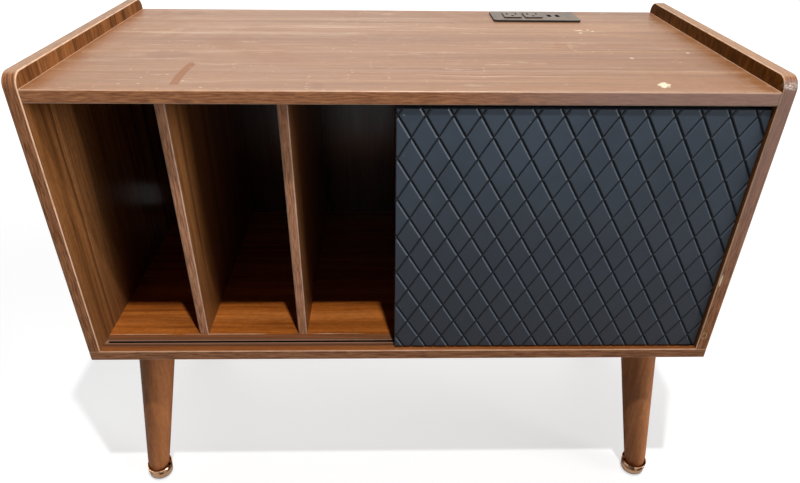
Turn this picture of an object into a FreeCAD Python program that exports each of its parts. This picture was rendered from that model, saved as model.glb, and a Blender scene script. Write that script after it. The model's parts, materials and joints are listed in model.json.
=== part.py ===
import FreeCAD, Part
import math
import os

from FreeCAD import Vector

# Record stand: a board cabinet on four splayed legs, with three open record slots, one sliding door
# with crossed V-grooves and an outlet strip let into the tabletop.
# Millimetres. The origin is on the floor under the middle of the cabinet, +X runs to the right,
# +Y to the back and +Z up, so the front looks along -Y.

# Cabinet boards
cabinet_width = 800.0
cabinet_depth = 381.0
leg_height = 256.0
inner_height = 328.0
side_board = 15.0
top_board = 15.0
base_board = 15.0
rail_rise = 16.0
rail_radius = 15.0
top_setback = 1.0
edge_round = 2.0

# Record slots, centre partition and shelf
slot_count = 3
divider_board = 12.0
partition_board = 12.0
divider_setback = 33.0
shelf_board = 15.0
shelf_height = 158.0
shelf_setback = 45.0
shelf_play = 0.5
pin_diameter = 5.0
pin_lug_diameter = 7.0
pin_lug_length = 9.0
pin_depth = 8.0
pin_inset = 45.0
pin_row_pitch = 32.0
pin_row_count = 3

# Back panel, held in grooves, with two cable openings
back_board = 3.0
back_inset = 9.0
back_groove_depth = 6.0
back_groove_play = 0.2
cable_opening_width = 60.0
cable_opening_height = 40.0
cable_opening_radius = 10.0
cable_opening_rise = 15.0

# Sliding door and its crossed grooves
door_board = 18.0
door_inset = 5.0
door_overlap = 8.5
door_side_gap = 1.0
door_bottom_gap = 3.0
door_top_gap = 5.0
diamond_width = 29.1
diamond_height = 49.4
diamond_first_column = 1.4
diamond_first_row = 16.0
groove_width = 4.5
groove_depth = 1.8
door_edge_round = 1.0

# Tracks for the door's rollers and guides
track_setback = 17.5
track_slot = 4.0
track_wall = 1.0
track_width = 13.0
track_flange = 0.8
track_end_gap = 0.5
track_end_stop = 4.0
lower_slot_depth = 3.6
upper_slot_depth = 8.4
groove_play = 0.1

# Door rollers
wheel_diameter = 22.0
wheel_width = 3.0
wheel_chamfer = 0.4
wheel_web_diameter = 16.0
wheel_hub_diameter = 9.0
wheel_web_recess = 0.6
wheel_rest_gap = 0.2
wheel_room = 1.0
axle_diameter = 4.0
axle_play = 0.05
roller_edge_distance = 46.0
housing_width = 40.0
housing_height = 30.0
housing_front_wall = 2.5
housing_lug_width = 60.0
housing_lug_thickness = 2.5
pocket_play = 0.2

# Door guides
guide_width = 30.0
guide_height = 16.0
guide_front_wall = 1.5
guide_fin_length = 20.0
guide_fin_thickness = 3.0
guide_fin_rise = 8.5

# Legs
leg_splay = 7.7
leg_side_inset = 64.5
leg_front_inset = 62.0
leg_top_diameter = 50.0
leg_bottom_diameter = 28.5
leg_seat_gap = 6.0
leg_top_round = 1.5
plate_size = 60.0
plate_thickness = 2.2
plate_corner = 8.0
plate_boss_diameter = 30.0
plate_screw_spacing = 44.0
plate_screw_diameter = 4.0
plate_screw_head = 8.0
plate_screw_grip = 11.0
bolt_diameter = 8.0
bolt_in_leg = 30.0
bolt_in_base = 8.0
bolt_clearance = 4.0
bolt_hole_spare = 2.0
leg_nose_length = 36.0
leg_nose_diameter = 18.0
ferrule_height = 20.0
ferrule_rim_diameter = 36.0
ferrule_foot_diameter = 33.0
ferrule_wall = 1.0
ferrule_floor = 3.5
ferrule_round = 5.0
ferrule_rim_round = 0.4
ferrule_shift = 1.5
glide_diameter = 20.0
glide_height = 2.0
glide_pin_diameter = 5.0
glide_pin_grip = 8.0

# Outlet strip in the tabletop
outlet_length = 125.0
outlet_width = 56.0
outlet_side_distance = 140.0
outlet_rear_distance = 17.0
outlet_corner = 5.0
bezel_height = 3.0
bezel_edge = 1.0
socket_width = 25.5
socket_depth = 32.5
socket_corner = 3.0
socket_rise = 1.6
socket_drop = 16.0
socket_pitch = 30.0
socket_first = 29.5
socket_shoulder = 1.0
socket_shoulder_height = 2.0
socket_play = 0.15
socket_edge = 0.6
blade_slot_width = 2.2
blade_slot_length = 8.0
blade_slot_spacing = 12.7
blade_slot_shift = 4.0
ground_hole_diameter = 5.0
ground_hole_shift = 8.0
contact_depth = 12.0
usb_first = 84.5
usb_pitch = 12.0
usb_width = 5.8
usb_length = 13.2
usb_wall = 0.35
usb_height = 14.0
usb_play = 0.1
usb_tongue_thickness = 1.8
usb_tongue_gap = 0.6
usb_tongue_recess = 1.5
usb_board_thickness = 1.6
usb_board_margin = 3.0
box_margin = 5.5
box_wall = 2.0
box_height = 38.0
cutout_play = 0.8
clamp_width = 20.0
clamp_thickness = 1.5
clamp_height = 15.0
clamp_reach = 12.0
clamp_screw_diameter = 3.0
clamp_screw_head = 6.0
clamp_screw_grip = 4.0
gland_flange_diameter = 15.0
gland_flange_height = 3.0
gland_spigot_diameter = 10.0
gland_nose_diameter = 11.0
gland_nose_height = 7.0
gland_bore_diameter = 7.0
gland_end_distance = 22.0

# Board fittings
cam_diameter = 15.0
cam_height = 12.0
cam_play = 0.1
cam_end_distance = 24.0
cam_inset = 70.0
cam_slot_width = 2.0
cam_slot_depth = 2.0
cam_bolt_thread = 5.0
cam_bolt_grip = 10.0
cam_bolt_shank = 6.0
cam_bolt_neck = 3.6
cam_bolt_neck_length = 4.0
cam_bolt_head_length = 3.5
cam_bolt_play = 0.5
dowel_diameter = 8.0
dowel_in_side = 10.0
dowel_in_top = 20.0
dowel_inset = 110.0
small_dowel_diameter = 6.0
small_dowel_in_top = 8.0
small_dowel_in_board = 16.0
long_screw_head = 10.0
long_screw_head_height = 3.0
long_screw_shank = 7.0
long_screw_thread = 5.0
long_screw_grip = 35.0
long_screw_inset = 45.0
board_screw_diameter = 4.0
board_screw_head = 8.0
board_screw_head_height = 2.5
board_screw_grip = 30.0
board_screw_inset = 50.0
back_screw_diameter = 3.0
back_screw_head = 6.0
back_screw_head_height = 1.5
back_screw_grip = 12.0
back_screw_rows = 3
back_screw_inset = 40.0
door_screw_diameter = 3.5
door_screw_head = 6.5
door_screw_head_height = 1.5
door_screw_grip = 3.0

# Levels and planes that follow from the sizes above
half_width = cabinet_width / 2
inner_half = half_width - side_board
front = -cabinet_depth / 2
rear = cabinet_depth / 2
base_under = leg_height
base_top = base_under + base_board
top_under = base_top + inner_height
top_middle = top_under + top_board / 2
top_face = top_under + top_board
rail_top = top_face + rail_rise
top_front = front + top_setback
back_rear = rear - back_inset
back_front = back_rear - back_board
board_front = front + divider_setback
board_rear = back_front
slot_width = (inner_half - partition_board / 2 - (slot_count - 1) * divider_board) / slot_count
divider_lefts = [
    -inner_half + (i + 1) * slot_width + i * divider_board for i in range(slot_count - 1)
]
divider_middles = [left + divider_board / 2 for left in divider_lefts]
upright_middles = divider_middles + [0.0]
track_y = front + track_setback
tiny = 0.001
X_AXIS = Vector(1, 0, 0)
Y_AXIS = Vector(0, 1, 0)
Z_AXIS = Vector(0, 0, 1)

nodes = {}


def block(x0, x1, y0, y1, z0, z1):
    return Part.makeBox(x1 - x0, y1 - y0, z1 - z0, Vector(x0, y0, z0))


def rounded_block(x0, x1, y0, y1, z0, z1, radius):
    """A block whose upright edges are rounded."""
    shape = block(x0, x1, y0, y1, z0, z1)
    upright = [edge for edge in shape.Edges if edge.BoundBox.ZLength > tiny]
    return shape.makeFillet(radius, upright)


def rod(diameter, start, direction, length):
    return Part.makeCylinder(diameter / 2, length, start, direction)


def taper(start_diameter, end_diameter, start, direction, length):
    return Part.makeCone(start_diameter / 2, end_diameter / 2, length, start, direction)


def fused(first, *others):
    return first.fuse(list(others)).removeSplitter()


def cut_away(shape, tools):
    return shape.cut(list(tools))


def edges_along_x(shape, y):
    """Edges that run along X on the plane at y."""
    return [
        edge
        for edge in shape.Edges
        if edge.BoundBox.YLength < tiny
        and edge.BoundBox.ZLength < tiny
        and abs(edge.BoundBox.YMin - y) < tiny
    ]


def upright_edges(shape, y):
    """Edges that run along Z on the plane at y."""
    return [
        edge
        for edge in shape.Edges
        if edge.BoundBox.ZLength > tiny
        and edge.BoundBox.XLength < tiny
        and abs(edge.BoundBox.YMin - y) < tiny
        and abs(edge.BoundBox.YMax - y) < tiny
    ]


def screw(head, head_height, shank, start, direction, grip):
    """Countersunk screw: start is the middle of its head, direction the way it is driven."""
    cone = taper(head, shank, start, direction, head_height)
    shaft = rod(shank, start + direction * head_height, direction, grip)
    return fused(cone, shaft)


# Board fittings: each list holds the solids that are saved and also cut from the boards

def long_screw(side, y):
    """Stepped screw from under the base board up into a side panel."""
    start = Vector(side * (half_width - side_board / 2), y, base_under)
    head = rod(long_screw_head, start, Z_AXIS, long_screw_head_height)
    shank = rod(long_screw_shank, start, Z_AXIS, base_board)
    thread = rod(long_screw_thread, start, Z_AXIS, base_board + long_screw_grip)
    return fused(head, shank, thread)


def board_screw(x, y):
    """Screw from under the base board up into a divider or the centre partition."""
    start = Vector(x, y, base_under)
    grip = base_board - board_screw_head_height + board_screw_grip
    return screw(board_screw_head, board_screw_head_height, board_screw_diameter, start, Z_AXIS, grip)


def top_dowel(side, y):
    start = Vector(side * (inner_half - dowel_in_top), y, top_middle)
    return rod(dowel_diameter, start, X_AXIS * side, dowel_in_top + dowel_in_side)


def small_dowel(x, y):
    start = Vector(x, y, top_under - small_dowel_in_board)
    return rod(small_dowel_diameter, start, Z_AXIS, small_dowel_in_board + small_dowel_in_top)


def cam_bolt(side, y):
    """Bolt in the side panel whose head is caught by a cam in the tabletop."""
    inward = X_AXIS * -side
    face = Vector(side * inner_half, y, top_middle)
    shank_length = cam_end_distance - cam_bolt_head_length / 2 - cam_bolt_neck_length
    neck_start = face + inward * shank_length
    head_start = neck_start + inward * cam_bolt_neck_length
    thread = rod(cam_bolt_thread, face - inward * cam_bolt_grip, inward, cam_bolt_grip)
    shank = rod(cam_bolt_shank, face, inward, shank_length)
    neck = rod(cam_bolt_neck, neck_start, inward, cam_bolt_neck_length)
    head = rod(cam_bolt_shank, head_start, inward, cam_bolt_head_length)
    return fused(thread, shank, neck, head)


def cam_bolt_bore(side, y):
    """Clearance bore for the bolt, from the tabletop's end to past the cam's middle."""
    length = cam_end_distance + cam_bolt_shank
    start = Vector(side * inner_half, y, top_middle)
    return rod(cam_bolt_shank + 2 * cam_bolt_play, start, X_AXIS * -side, length)


def cam_lock(side, y):
    middle = Vector(side * (inner_half - cam_end_distance), y, top_under)
    disc = rod(cam_diameter, middle, Z_AXIS, cam_height)
    half_slot = cam_slot_width / 2
    driver_slot = block(
        middle.x - cam_diameter, middle.x + cam_diameter,
        y - half_slot, y + half_slot,
        top_under, top_under + cam_slot_depth,
    )
    return cut_away(disc, [driver_slot, cam_bolt_bore(side, y)])


def cam_pocket(side, y):
    middle = Vector(side * (inner_half - cam_end_distance), y, top_under)
    return rod(cam_diameter + 2 * cam_play, middle, Z_AXIS, cam_height + cam_play)


SIDES = (-1, 1)
cam_places = [(side, y) for side in SIDES for y in (front + cam_inset, rear - cam_inset)]
dowel_places = [(side, y) for side in SIDES for y in (front + dowel_inset, rear - dowel_inset)]
long_screw_places = [
    (side, y) for side in SIDES for y in (front + long_screw_inset, 0.0, rear - long_screw_inset)
]
upright_places = [
    (x, y)
    for x in upright_middles
    for y in (board_front + board_screw_inset, board_rear - board_screw_inset)
]
cam_bolts = [cam_bolt(side, y) for side, y in cam_places]
cam_locks = [cam_lock(side, y) for side, y in cam_places]
top_dowels = [top_dowel(side, y) for side, y in dowel_places]
small_dowels = [small_dowel(x, y) for x, y in upright_places]
long_screws = [long_screw(side, y) for side, y in long_screw_places]
board_screws = [board_screw(x, y) for x, y in upright_places]
nodes["cam_bolts"] = Part.makeCompound(cam_bolts)
nodes["cam_locks"] = Part.makeCompound(cam_locks)
nodes["wood_dowels"] = Part.makeCompound(top_dowels + small_dowels)
nodes["base_side_screws"] = Part.makeCompound(long_screws)
nodes["base_divider_screws"] = Part.makeCompound(board_screws)


# Back panel with its cable openings and screws

back_reach = back_groove_depth - back_groove_play
cable_middle = inner_half - slot_width / 2


def back_groove():
    """Groove round the inside of the cabinet that takes the back panel."""
    return block(
        -inner_half - back_groove_depth, inner_half + back_groove_depth,
        back_front - back_groove_play, back_rear + back_groove_play,
        base_top - back_groove_depth, top_under + back_groove_depth,
    )


def cable_opening(side):
    """Rounded opening low in the back panel, behind the outer slot or its mirror image."""
    opening = block(
        side * cable_middle - cable_opening_width / 2, side * cable_middle + cable_opening_width / 2,
        back_front - back_board, back_rear + back_board,
        base_top + cable_opening_rise, base_top + cable_opening_rise + cable_opening_height,
    )
    corners = [edge for edge in opening.Edges if edge.BoundBox.YLength > tiny]
    return opening.makeFillet(cable_opening_radius, corners)


def back_screw(x, z):
    start = Vector(x, back_rear + back_screw_head_height, z)
    head = rod(back_screw_head, start, -Y_AXIS, back_screw_head_height)
    length = back_screw_head_height + back_board + back_screw_grip
    return fused(head, rod(back_screw_diameter, start, -Y_AXIS, length))


back_screw_step = (inner_height - 2 * back_screw_inset) / (back_screw_rows - 1)
back_screws = [
    back_screw(x, base_top + back_screw_inset + row * back_screw_step)
    for x in upright_middles
    for row in range(back_screw_rows)
]
back_sheet = block(
    -inner_half - back_reach, inner_half + back_reach,
    back_front, back_rear,
    base_top - back_reach, top_under + back_reach,
)
nodes["back_panel"] = cut_away(back_sheet, [cable_opening(side) for side in SIDES] + back_screws)
nodes["back_panel_screws"] = Part.makeCompound(back_screws)


# Adjustable shelf behind the door, on four pins

shelf_under = base_top + shelf_height
shelf_front = front + shelf_setback
shelf_left = partition_board / 2 + shelf_play
shelf_right = inner_half - shelf_play
pin_level = shelf_under - pin_lug_diameter / 2
pin_columns = (shelf_front + pin_inset, board_rear - pin_inset)
# Wall that carries each pin: the wall's face and the way into the wall
pin_walls = ((partition_board / 2, -1), (inner_half, 1))


def shelf_pin(face, into, y):
    start = Vector(face, y, pin_level)
    stem = rod(pin_diameter, start, X_AXIS * into, pin_depth)
    lug = rod(pin_lug_diameter, start, X_AXIS * -into, pin_lug_length)
    return fused(stem, lug)


def pin_holes(face, into):
    """Rows of holes so that the shelf can be set higher or lower."""
    middle_row = (pin_row_count - 1) / 2
    return [
        rod(
            pin_diameter,
            Vector(face, y, pin_level + (row - middle_row) * pin_row_pitch),
            X_AXIS * into,
            pin_depth,
        )
        for y in pin_columns
        for row in range(pin_row_count)
    ]


shelf = block(
    shelf_left, shelf_right,
    shelf_front, board_rear - shelf_play,
    shelf_under, shelf_under + shelf_board,
)
nodes["adjustable_shelf"] = shelf.makeFillet(edge_round, edges_along_x(shelf, shelf_front))
nodes["shelf_pins"] = Part.makeCompound(
    [shelf_pin(face, into, y) for face, into in pin_walls for y in pin_columns]
)


# Tracks: a channel with two flanges, sunk in the base board and in the tabletop

lower_slot_floor = base_top + track_flange - lower_slot_depth
track_half_length = inner_half - track_end_gap


def track(level, away, slot_depth):
    """Channel on the board face at level; away is +1 where its flanges lie above that face."""
    half = track_half_length
    deep = level + away * (track_flange - slot_depth)

    def bar(y_half, z0, z1):
        low, high = sorted((z0, z1))
        return block(-half, half, track_y - y_half, track_y + y_half, low, high)

    flanges = bar(track_width / 2, level, level + away * track_flange)
    channel = bar(track_slot / 2 + track_wall, level, deep - away * track_wall)
    slot = bar(track_slot / 2, deep, level + away * track_flange)
    open_slot = slot.common(
        block(
            -half + track_end_stop, half - track_end_stop,
            front, rear,
            base_under, rail_top,
        )
    )
    return fused(flanges, channel).cut(open_slot)


def track_groove(level, away, slot_depth):
    deep = level + away * (track_flange - slot_depth - track_wall - groove_play)
    low, high = sorted((level, deep))
    half = track_slot / 2 + track_wall + groove_play
    return block(-inner_half, inner_half, track_y - half, track_y + half, low, high)


nodes["lower_track"] = track(base_top, 1, lower_slot_depth)
nodes["upper_track"] = track(top_under, -1, upper_slot_depth)


# Sliding door with crossed V-grooves

door_width = inner_half - door_side_gap + door_overlap
door_left = -door_overlap
door_right = door_left + door_width
door_front = front + door_inset
door_back = door_front + door_board
door_bottom = base_top + door_bottom_gap
door_top = top_under - door_top_gap
wheel_level = lower_slot_floor + wheel_rest_gap + wheel_diameter / 2
roller_xs = (door_left + roller_edge_distance, door_right - roller_edge_distance)
housing_front = track_y - wheel_width / 2 - wheel_room / 2 - housing_front_wall
guide_front = track_y - guide_fin_thickness / 2 - guide_front_wall


def groove_cutters(lean):
    """V-shaped bars along parallel lines that climb to the right (lean 1) or to the left (lean -1)."""
    along = Vector(lean * diamond_width, 0, diamond_height).normalize()
    across = Vector(diamond_height, 0, -lean * diamond_width).normalize()
    overrun = groove_depth
    mouth = groove_width / 2 * (groove_depth + overrun) / groove_depth
    row_level = door_bottom + diamond_first_row
    start_level = door_bottom - diamond_height
    climb = door_top + diamond_height - start_level
    slope = lean * diamond_width / diamond_height
    sideways = [slope * (level - row_level) for level in (door_bottom, door_top)]
    first = math.floor((-diamond_first_column - max(sideways)) / diamond_width)
    last = math.ceil((door_width - diamond_first_column - min(sideways)) / diamond_width)
    cutters = []
    for column in range(first, last + 1):
        node_x = door_left + diamond_first_column + column * diamond_width
        start = Vector(node_x + slope * (start_level - row_level), door_front, start_level)
        outside = start - Y_AXIS * overrun
        corners = [outside - across * mouth, outside + across * mouth, start + Y_AXIS * groove_depth]
        section = Part.Face(Part.makePolygon(corners + corners[:1]))
        cutters.append(section.extrude(along * (climb / along.z)))
    return cutters


def roller_body(x, play):
    """Outer form of a roller housing with its screw lugs, widened all round by play."""
    body = block(
        x - housing_width / 2 - play, x + housing_width / 2 + play,
        housing_front - play, door_back,
        door_bottom - play, door_bottom + housing_height + play,
    )
    lugs = block(
        x - housing_lug_width / 2 - play, x + housing_lug_width / 2 + play,
        door_back - housing_lug_thickness - play, door_back,
        door_bottom - play, door_bottom + housing_height + play,
    )
    return fused(body, lugs)


def roller_screws(x):
    """Two screws through the lugs of one housing, driven from the door's back."""
    offset = (housing_width + housing_lug_width) / 4
    level = door_bottom + housing_height / 2
    grip = housing_lug_thickness - door_screw_head_height + door_screw_grip
    return [
        screw(
            door_screw_head, door_screw_head_height, door_screw_diameter,
            Vector(x + side * offset, door_back, level), -Y_AXIS, grip,
        )
        for side in SIDES
    ]


def roller_housing(x):
    half_room = (wheel_width + wheel_room) / 2
    reach = wheel_diameter / 2 + wheel_room
    wheel_space = block(
        x - reach, x + reach,
        track_y - half_room, track_y + half_room,
        door_bottom, wheel_level + reach,
    )
    axle_hole = rod(
        axle_diameter + 2 * axle_play,
        Vector(x, housing_front, wheel_level), Y_AXIS, door_back - housing_front,
    )
    return cut_away(roller_body(x, 0.0), [wheel_space, axle_hole] + roller_screws(x))


def roller_axle(x):
    length = door_back - housing_front - 2 * axle_play
    return rod(axle_diameter, Vector(x, housing_front + axle_play, wheel_level), Y_AXIS, length)


def roller_wheel(x):
    start = Vector(x, track_y - wheel_width / 2, wheel_level)
    disc = rod(wheel_diameter, start, Y_AXIS, wheel_width)
    disc = disc.makeChamfer(wheel_chamfer, [e for e in disc.Edges if e.BoundBox.YLength < tiny])
    bore = rod(axle_diameter + 2 * axle_play, start, Y_AXIS, wheel_width)
    recesses = []
    for y in (start.y, start.y + wheel_width - wheel_web_recess):
        face = Vector(x, y, wheel_level)
        ring = rod(wheel_web_diameter, face, Y_AXIS, wheel_web_recess)
        recesses.append(ring.cut(rod(wheel_hub_diameter, face, Y_AXIS, wheel_web_recess)))
    return cut_away(disc, [bore] + recesses)


def guide_body(x, play):
    return block(
        x - guide_width / 2 - play, x + guide_width / 2 + play,
        guide_front - play, door_back,
        door_top - guide_height - play, door_top + play,
    )


def guide_screw(x):
    level = door_top - guide_height / 2
    grip = door_back - guide_front - door_screw_head_height + door_screw_grip
    start = Vector(x, door_back, level)
    return screw(door_screw_head, door_screw_head_height, door_screw_diameter, start, -Y_AXIS, grip)


def top_guide(x):
    """Block let into the door's top edge, with a fin that runs in the upper track."""
    fin = rounded_block(
        x - guide_fin_length / 2, x + guide_fin_length / 2,
        track_y - guide_fin_thickness / 2, track_y + guide_fin_thickness / 2,
        door_top - guide_height / 2, door_top + guide_fin_rise,
        guide_fin_thickness / 2 - tiny,
    )
    return fused(guide_body(x, 0.0), fin).cut(guide_screw(x))


def sliding_door():
    panel = block(door_left, door_right, door_front, door_back, door_bottom, door_top)
    rim = [edge for edge in panel.Edges if edge.BoundBox.YMax < door_front + tiny]
    panel = panel.makeFillet(door_edge_round, rim)
    pockets = [roller_body(x, pocket_play) for x in roller_xs]
    pockets += [guide_body(x, pocket_play) for x in roller_xs]
    screws = [guide_screw(x) for x in roller_xs]
    for x in roller_xs:
        screws += roller_screws(x)
    panel = cut_away(panel, pockets)
    panel = cut_away(panel, screws)
    panel = cut_away(panel, groove_cutters(1))
    return cut_away(panel, groove_cutters(-1))


nodes["sliding_door"] = sliding_door()
for name, x in zip(("left", "right"), roller_xs):
    nodes[f"{name}_roller_housing"] = roller_housing(x)
    nodes[f"{name}_roller_axle"] = roller_axle(x)
    nodes[f"{name}_roller_wheel"] = roller_wheel(x)
    nodes[f"{name}_top_guide"] = top_guide(x)
nodes["roller_screws"] = Part.makeCompound([s for x in roller_xs for s in roller_screws(x)])
nodes["guide_screws"] = Part.makeCompound([guide_screw(x) for x in roller_xs])


# Outlet strip: bezel, sockets, ports, box, clamps and cord gland

outlet_right = half_width - outlet_side_distance
outlet_left = outlet_right - outlet_length
outlet_rear = rear - outlet_rear_distance
outlet_front = outlet_rear - outlet_width
outlet_middle_y = (outlet_front + outlet_rear) / 2
bezel_top = top_face + bezel_height
socket_xs = [outlet_left + socket_first + i * socket_pitch for i in range(2)]
usb_xs = [outlet_left + usb_first + i * usb_pitch for i in range(2)]
usb_top = bezel_top
usb_bottom = usb_top - usb_height
box_left = outlet_left + box_margin
box_right = outlet_right - box_margin
box_front = outlet_front + box_margin
box_rear = outlet_rear - box_margin
box_bottom = top_face - box_height


def socket_form(x, play, bottom, top):
    return rounded_block(
        x - socket_width / 2 - play, x + socket_width / 2 + play,
        outlet_middle_y - socket_depth / 2 - play, outlet_middle_y + socket_depth / 2 + play,
        bottom, top, socket_corner + play,
    )


def outlet_socket(x):
    """Square insert with two blade slots and a ground hole, held from below by a shoulder."""
    top = bezel_top + socket_rise
    body = socket_form(x, 0.0, top_face - socket_drop, top)
    body = body.makeFillet(socket_edge, [e for e in body.Edges if e.BoundBox.ZMin > top - tiny])
    shoulder = socket_form(x, socket_shoulder, top_face - socket_shoulder_height, top_face)
    contacts = []
    for side in SIDES:
        slot_x = x + side * blade_slot_spacing / 2
        slot_y = outlet_middle_y + blade_slot_shift
        contacts.append(
            block(
                slot_x - blade_slot_width / 2, slot_x + blade_slot_width / 2,
                slot_y - blade_slot_length / 2, slot_y + blade_slot_length / 2,
                top - contact_depth, top,
            )
        )
    ground = Vector(x, outlet_middle_y - ground_hole_shift, top - contact_depth)
    contacts.append(rod(ground_hole_diameter, ground, Z_AXIS, contact_depth))
    return cut_away(fused(body, shoulder), contacts)


def usb_form(x, play, bottom, top):
    return block(
        x - usb_width / 2 - play, x + usb_width / 2 + play,
        outlet_middle_y - usb_length / 2 - play, outlet_middle_y + usb_length / 2 + play,
        bottom, top,
    )


def usb_port(x):
    """Port shell with the contact tongue that stands in its opening."""
    shell = usb_form(x, 0.0, usb_bottom, usb_top)
    floor_level = usb_bottom + usb_board_thickness
    space = usb_form(x, -usb_wall, floor_level, usb_top)
    tongue_left = x - usb_width / 2 + usb_wall + usb_tongue_gap
    tongue = block(
        tongue_left, tongue_left + usb_tongue_thickness,
        outlet_middle_y - usb_length / 2 + usb_wall + usb_tongue_gap,
        outlet_middle_y + usb_length / 2 - usb_wall - usb_tongue_gap,
        usb_bottom, usb_top - usb_tongue_recess,
    )
    return fused(shell.cut(space), tongue)


def outlet_bezel():
    plate = rounded_block(
        outlet_left, outlet_right, outlet_front, outlet_rear, top_face, bezel_top, outlet_corner
    )
    plate = plate.makeFillet(bezel_edge, [e for e in plate.Edges if e.BoundBox.ZMin > bezel_top - tiny])
    holes = [socket_form(x, socket_play, top_face, bezel_top) for x in socket_xs]
    holes += [usb_form(x, usb_play, top_face, bezel_top) for x in usb_xs]
    return cut_away(plate, holes)


def clamp_screw(side):
    face = box_right if side > 0 else box_left
    start = Vector(face + side * clamp_thickness, outlet_middle_y, top_under - clamp_height / 2)
    grip = clamp_screw_grip
    return screw(
        clamp_screw_head, clamp_thickness, clamp_screw_diameter, start, X_AXIS * -side, grip
    )


def outlet_clamp(side):
    """Angle bracket that pulls the strip down against the tabletop's underside."""
    face = box_right if side > 0 else box_left
    y0 = outlet_middle_y - clamp_width / 2
    y1 = outlet_middle_y + clamp_width / 2
    upright_x = sorted((face, face + side * clamp_thickness))
    foot_x = sorted((face, face + side * clamp_reach))
    upright = block(*upright_x, y0, y1, top_under - clamp_height, top_under)
    foot = block(*foot_x, y0, y1, top_under - clamp_thickness, top_under)
    return fused(upright, foot).cut(clamp_screw(side))


gland_place = Vector(box_right - gland_end_distance, outlet_middle_y, box_bottom)


def cord_gland():
    """Gland in the box's floor where the supply cord enters."""
    flange = rod(gland_flange_diameter, gland_place, -Z_AXIS, gland_flange_height)
    nose_start = gland_place - Z_AXIS * gland_flange_height
    nose = taper(gland_flange_diameter, gland_nose_diameter, nose_start, -Z_AXIS, gland_nose_height)
    spigot = rod(gland_spigot_diameter, gland_place, Z_AXIS, box_wall)
    reach = gland_flange_height + gland_nose_height + box_wall
    bore = rod(gland_bore_diameter, gland_place + Z_AXIS * box_wall, -Z_AXIS, reach)
    return fused(flange, nose, spigot).cut(bore)


def outlet_box():
    """Open-topped box under the bezel that closes off the wiring."""
    shell = block(box_left, box_right, box_front, box_rear, box_bottom, top_face)
    space = block(
        box_left + box_wall, box_right - box_wall,
        box_front + box_wall, box_rear - box_wall,
        box_bottom + box_wall, top_face,
    )
    gland_hole = rod(gland_spigot_diameter, gland_place, Z_AXIS, box_wall)
    return cut_away(shell, [space, gland_hole] + [clamp_screw(side) for side in SIDES])


def usb_board():
    """Small circuit board that carries both ports."""
    return block(
        usb_xs[0] - usb_width / 2 - usb_board_margin, usb_xs[-1] + usb_width / 2 + usb_board_margin,
        outlet_middle_y - usb_length / 2 - usb_board_margin,
        outlet_middle_y + usb_length / 2 + usb_board_margin,
        usb_bottom - usb_board_thickness, usb_bottom,
    )


nodes["outlet_bezel"] = outlet_bezel()
for name, socket_x, usb_x in zip(("left", "right"), socket_xs, usb_xs):
    nodes[f"{name}_outlet_socket"] = outlet_socket(socket_x)
    nodes[f"{name}_usb_port"] = usb_port(usb_x)
nodes["usb_circuit_board"] = usb_board()
nodes["outlet_box"] = outlet_box()
nodes["outlet_clamps"] = Part.makeCompound([outlet_clamp(side) for side in SIDES])
nodes["outlet_clamp_screws"] = Part.makeCompound([clamp_screw(side) for side in SIDES])
nodes["outlet_cord_gland"] = cord_gland()
outlet_cutout = block(
    box_left - cutout_play, box_right + cutout_play,
    box_front - cutout_play, box_rear + cutout_play,
    top_under, top_face,
)


# Legs: tapered and splayed both ways, each on an angled plate, with its nose in an upright ferrule

spread = math.tan(math.radians(leg_splay))
plate_under = base_under - plate_thickness
ENDS = (("front", -1), ("rear", 1))
HANDS = (("left", -1), ("right", 1))
hanger_bolts = []
plate_screws = []
bolt_holes = []


def floor_slab(low):
    """Everything between the given level and the base board."""
    return block(-cabinet_width, cabinet_width, -cabinet_depth, cabinet_depth, low, base_under)


def turned_leg(start, down, length):
    """Leg turned round its axis: a straight taper that ends in a rounded nose."""
    slope = (leg_bottom_diameter - leg_top_diameter) / 2 / length
    along = Vector(slope, 0, 1).normalize()
    inward = Vector(-along.z, 0, along.x)
    nose_start_radius = leg_top_diameter / 2 + slope * (length - leg_nose_length)
    nose_start = Vector(nose_start_radius, 0, length - leg_nose_length)
    nose_end = Vector(leg_nose_diameter / 2, 0, length)
    chord = nose_end - nose_start
    radius = chord.dot(chord) / (2 * chord.dot(inward))
    centre = nose_start + inward * radius
    halfway = (nose_start - centre) + (nose_end - centre)
    nose_middle = centre + halfway.normalize() * radius
    axis_top = Vector(0, 0, 0)
    axis_end = Vector(0, 0, length)
    top_corner = Vector(leg_top_diameter / 2, 0, 0)
    outline = Part.Wire([
        Part.makeLine(axis_top, top_corner),
        Part.makeLine(top_corner, nose_start),
        Part.Arc(nose_start, nose_middle, nose_end).toShape(),
        Part.makeLine(nose_end, axis_end),
        Part.makeLine(axis_end, axis_top),
    ])
    leg = Part.Face(outline).revolve(axis_top, Z_AXIS, 360)
    top_rim = [
        edge for edge in leg.Edges
        if edge.BoundBox.ZLength < tiny and abs(edge.BoundBox.ZMin) < tiny
    ]
    leg = leg.makeFillet(leg_top_round, top_rim)
    leg.Placement = FreeCAD.Placement(start, FreeCAD.Rotation(Z_AXIS, down))
    return leg


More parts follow.
